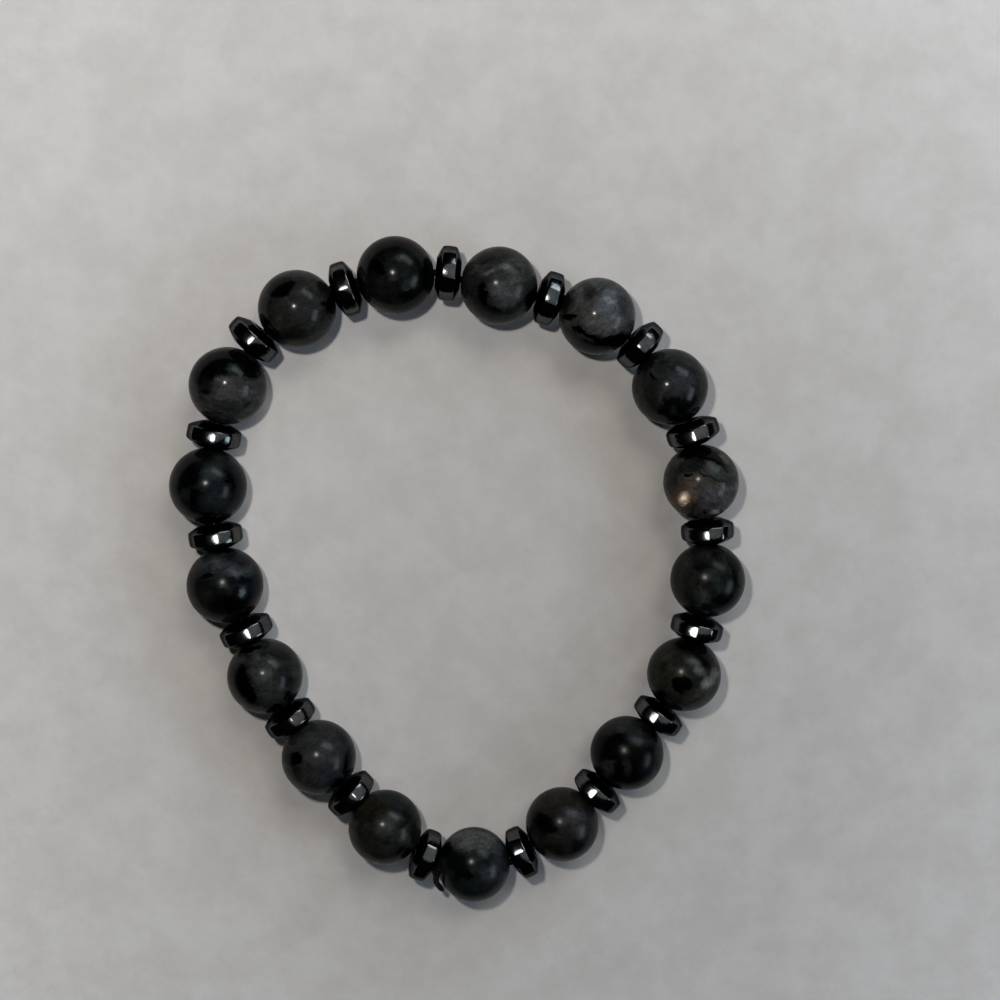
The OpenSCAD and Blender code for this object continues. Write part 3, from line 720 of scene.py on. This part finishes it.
# ----------------------------------------------------- spacer material
def spacer_material():
    t = Tree("hematite")
    k = 1 / MM
    p = t.mapping(t.place(), scale=(k, k, k))
    tint = t.noise(p, 0.16, 2.0, 0.5)
    stain = t.noise(p, 1.9, 5.0, 0.68)
    colour = t.mix(t.span(tint, 0.35, 0.65), (0.090, 0.096, 0.101), (0.098, 0.098, 0.097))
    colour = t.vector("SCALE", colour, scale=t.span(stain, 0.3, 0.7, 0.70, 1.26, "LINEAR"))
    rough = t.span(t.noise(p, 2.6, 5.0, 0.65), 0.3, 0.75, 0.10, 0.15, "LINEAR")
    b = t.bsdf
    t.link(colour, b.inputs["Base Color"])
    b.inputs["Metallic"].default_value = 1.0
    b.inputs["Specular Tint"].default_value = (0.35, 0.35, 0.36, 1.0)
    t.link(rough, b.inputs["Roughness"])
    waves = t.noise(p, 1.7, 3.0, 0.5)
    normal = t.bump(waves, 0.35, 0.00004)
    pits = t.noise(p, 16.0, 4.0, 0.7)
    t.link(t.bump(pits, 0.25, 0.000006, normal), b.inputs["Normal"])
    return t.material


# ------------------------------------------------- thread and knot
def thread_material():
    t = Tree("elastic")
    k = 1 / MM
    p = t.mapping(t.place(), scale=(k, k, k))
    strands = t.noise(p, 6.0, 4.0, 0.6)
    colour = t.mix(strands, (0.0014, 0.0014, 0.0016), (0.0040, 0.0040, 0.0044))
    b = t.bsdf
    t.link(colour, b.inputs["Base Color"])
    t.link(t.span(strands, 0.3, 0.7, 0.42, 0.62, "LINEAR"), b.inputs["Roughness"])
    b.inputs["Specular IOR Level"].default_value = 0.06
    t.link(t.bump(strands, 0.6, 0.00005), b.inputs["Normal"])
    return t.material


def paper_material():
    t = Tree("paper")
    k = 1 / MM
    p = t.mapping(t.place(), scale=(k, k, k))
    cloud = t.noise(p, 0.16, 4.0, 0.6)
    felt = t.noise(p, 0.55, 6.0, 0.68)
    colour = t.mix(t.span(cloud, 0.35, 0.65), (0.628, 0.619, 0.619), (0.677, 0.672, 0.677))
    colour = t.vector("SCALE", colour, scale=t.span(felt, 0.3, 0.7, 0.965, 1.03, "LINEAR"))
    # painted light and shade: the sheet's colour is made darker in the middle and paler towards its corners, a smooth
    # gradient standing in for how unevenly the light falls on it
    w = t.mapping(p, location=(-4.27 / 54.5, -8.0 / 55.0, 0), scale=(1 / 54.5, 1 / 55.0, 1))
    part = t.node("ShaderNodeSeparateXYZ")
    t.link(t.vector("MINIMUM", t.vector("MAXIMUM", w, (-1.1, -1.1, 0)), (1.1, 1.1, 0)), part.inputs[0])
    x, y = part.outputs[0], part.outputs[1]
    tone = t.math("MULTIPLY_ADD", t.math("MULTIPLY", x, x), 0.283)
    tone.node.inputs[2].default_value = 0.798
    tone2 = t.math("MULTIPLY_ADD", t.math("MULTIPLY", y, y), 0.220)
    t.link(tone, tone2.node.inputs[2])
    tone3 = t.math("MULTIPLY_ADD", x, -0.028)
    t.link(tone2, tone3.node.inputs[2])
    painted_light_tone = t.math("MULTIPLY_ADD", y, t.math("MULTIPLY_ADD", x, 0.051))
    painted_light_tone.node.inputs[1].links[0].from_node.inputs[2].default_value = 0.043
    t.link(tone3, painted_light_tone.node.inputs[2])
    colour = t.vector("SCALE", colour, scale=painted_light_tone)
    b = t.bsdf
    t.link(colour, b.inputs["Base Color"])
    b.inputs["Roughness"].default_value = 0.85
    b.inputs["Specular IOR Level"].default_value = 0.0
    height = t.math("ADD", t.math("MULTIPLY", felt, 0.4), cloud)
    t.link(t.bump(height, 0.35, 0.00022), b.inputs["Normal"])
    return t.material


# -------------------------------------------------------- build it all
def dress(ob, material, node):
    outward(ob)
    ob.data.materials.append(material)
    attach(ob, "root")
    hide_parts(node)


for i in range(COUNT):
    stone = stone_mesh(f"stone_{i + 1:02d}", stones[i], drill[i], i + 1)
    dress(stone, stone_material(i), f"bead_{i + 1:02d}")

hematite = spacer_material()
for i in range(COUNT):
    ring = spacer_mesh(f"rondelle_{i + 1:02d}", hubs[i], along[i], ROLL[i], i + 1)
    dress(ring, hematite, f"spacer_{i + 1:02d}")
    mirrors.objects.link(ring)
    not_keyed.objects.link(ring)
    not_keyed.collection_objects[-1].light_linking.link_state = "EXCLUDE"
    if GLINT[i]:
        glint_lamp(i, hubs[i] + Vector((0, 0, 2.85 * MM)), along[i]).objects.link(ring)

elastic = thread_material()
marks = []
for i in range(COUNT):
    for k in (-1, -1 / 3, 1 / 3, 1):
        out = Vector((-drill[i].y, drill[i].x, 0))
        marks.append(stones[i] + drill[i] * (k * STONE_R) - out * PULL)
# a smooth run through the marks, four steps to each
path = []
for i in range(len(marks)):
    p0, p1, p2, p3 = (marks[(i + k) % len(marks)] for k in (-1, 0, 1, 2))
    for s in range(4):
        u = s / 4
        path.append(0.5 * (2 * p1 + (p2 - p0) * u + (2 * p0 - 5 * p1 + 4 * p2 - p3) * u * u
                           + (3 * p1 - p0 - 3 * p2 + p3) * u ** 3))
cord = tube_mesh("elastic_thread", path, [0.34 * MM] * len(path), 20, True,
                 squash=lambda i, w: 1 + 0.02 * math.sin(9 * w + 0.8 * i))
dress(cord, elastic, "elastic_cord")


def at_knot(a, o, z):
    s, t = stones[9], along[9]
    out = Vector((-t.y, t.x, 0))
    return s + (t * a + out * o + Vector((0, 0, z))) * MM


def curve_through(points, per):
    done = []
    for i in range(len(points) - 1):
        p0 = points[max(i - 1, 0)]
        p1, p2 = points[i], points[i + 1]
        p3 = points[min(i + 2, len(points) - 1)]
        for s in range(per):
            u = s / per
            done.append(0.5 * (2 * p1 + (p2 - p0) * u + (2 * p0 - 5 * p1 + 4 * p2 - p3) * u * u
                               + (3 * p1 - p0 - 3 * p2 + p3) * u ** 3))
    done.append(points[-1])
    return done


# the knot: two tight turns over a core, then the cut end
mid = at_knot(3.83, 1.4, 2.5)
wraps = []
for k in range(49):
    w = 2 * math.pi * k / 20
    rise = (k - 24) / 24 * 0.22
    wraps.append(mid + Vector((0.33 * math.cos(w), 0.33 * math.sin(w), rise + 0.05 * math.sin(2 * w))) * MM)
end = curve_through([mid + Vector((0.02, 0.10, 0.06)) * MM, at_knot(3.58, 2.1, 2.04), at_knot(3.2, 2.95, 1.4),
                     at_knot(2.50, 3.62, 0.73), at_knot(1.80, 4.16, 0.05)], 7)
n_end = len(end)
knot_parts = [
    tube_mesh("knot_wraps", wraps, [0.20 * MM * min(1, 0.35 + 0.2 * min(k, 48 - k)) for k in range(49)], 14, False),
    tube_mesh("knot_end", end, [(0.37 - 0.09 * k / n_end) * MM * (1.0 if k < n_end - 5 else (0.92, 0.75, 0.55, 0.36, 0.16)[k - n_end + 5])
                                for k in range(n_end)], 14, False),
    tube_mesh("knot_neck", curve_through([at_knot(3.78, 1.7, 0.62), at_knot(3.80, 1.58, 1.3), mid + Vector((0, 0, -0.1)) * MM], 5),
              [0.15 * MM] * 4 + [0.18 * MM] * 4 + [0.2 * MM] * 3, 12, False),
]
import bmesh
joined = bmesh.new()
for part in knot_parts:
    outward(part)
    joined.from_mesh(part.data)
    old = part.data
    bpy.data.objects.remove(part)
    bpy.data.meshes.remove(old)
knot_mesh = bpy.data.meshes.new("thread_knot")
joined.to_mesh(knot_mesh)
joined.free()
knot = bpy.data.objects.new("thread_knot", knot_mesh)
SCENE.collection.objects.link(knot)
knot.data.materials.append(elastic)
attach(knot, "root")
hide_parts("knot")

# ------------------------------------------------------------- floor
# round, and no wider than the lights reach
rim = [2 * math.pi * k / 128 for k in range(128)]
paper = finish_mesh("paper", [(0.42 * math.cos(w), 0.42 * math.sin(w), 0) for w in rim], [tuple(range(128))], smooth=False)
paper.data.materials.append(paper_material())
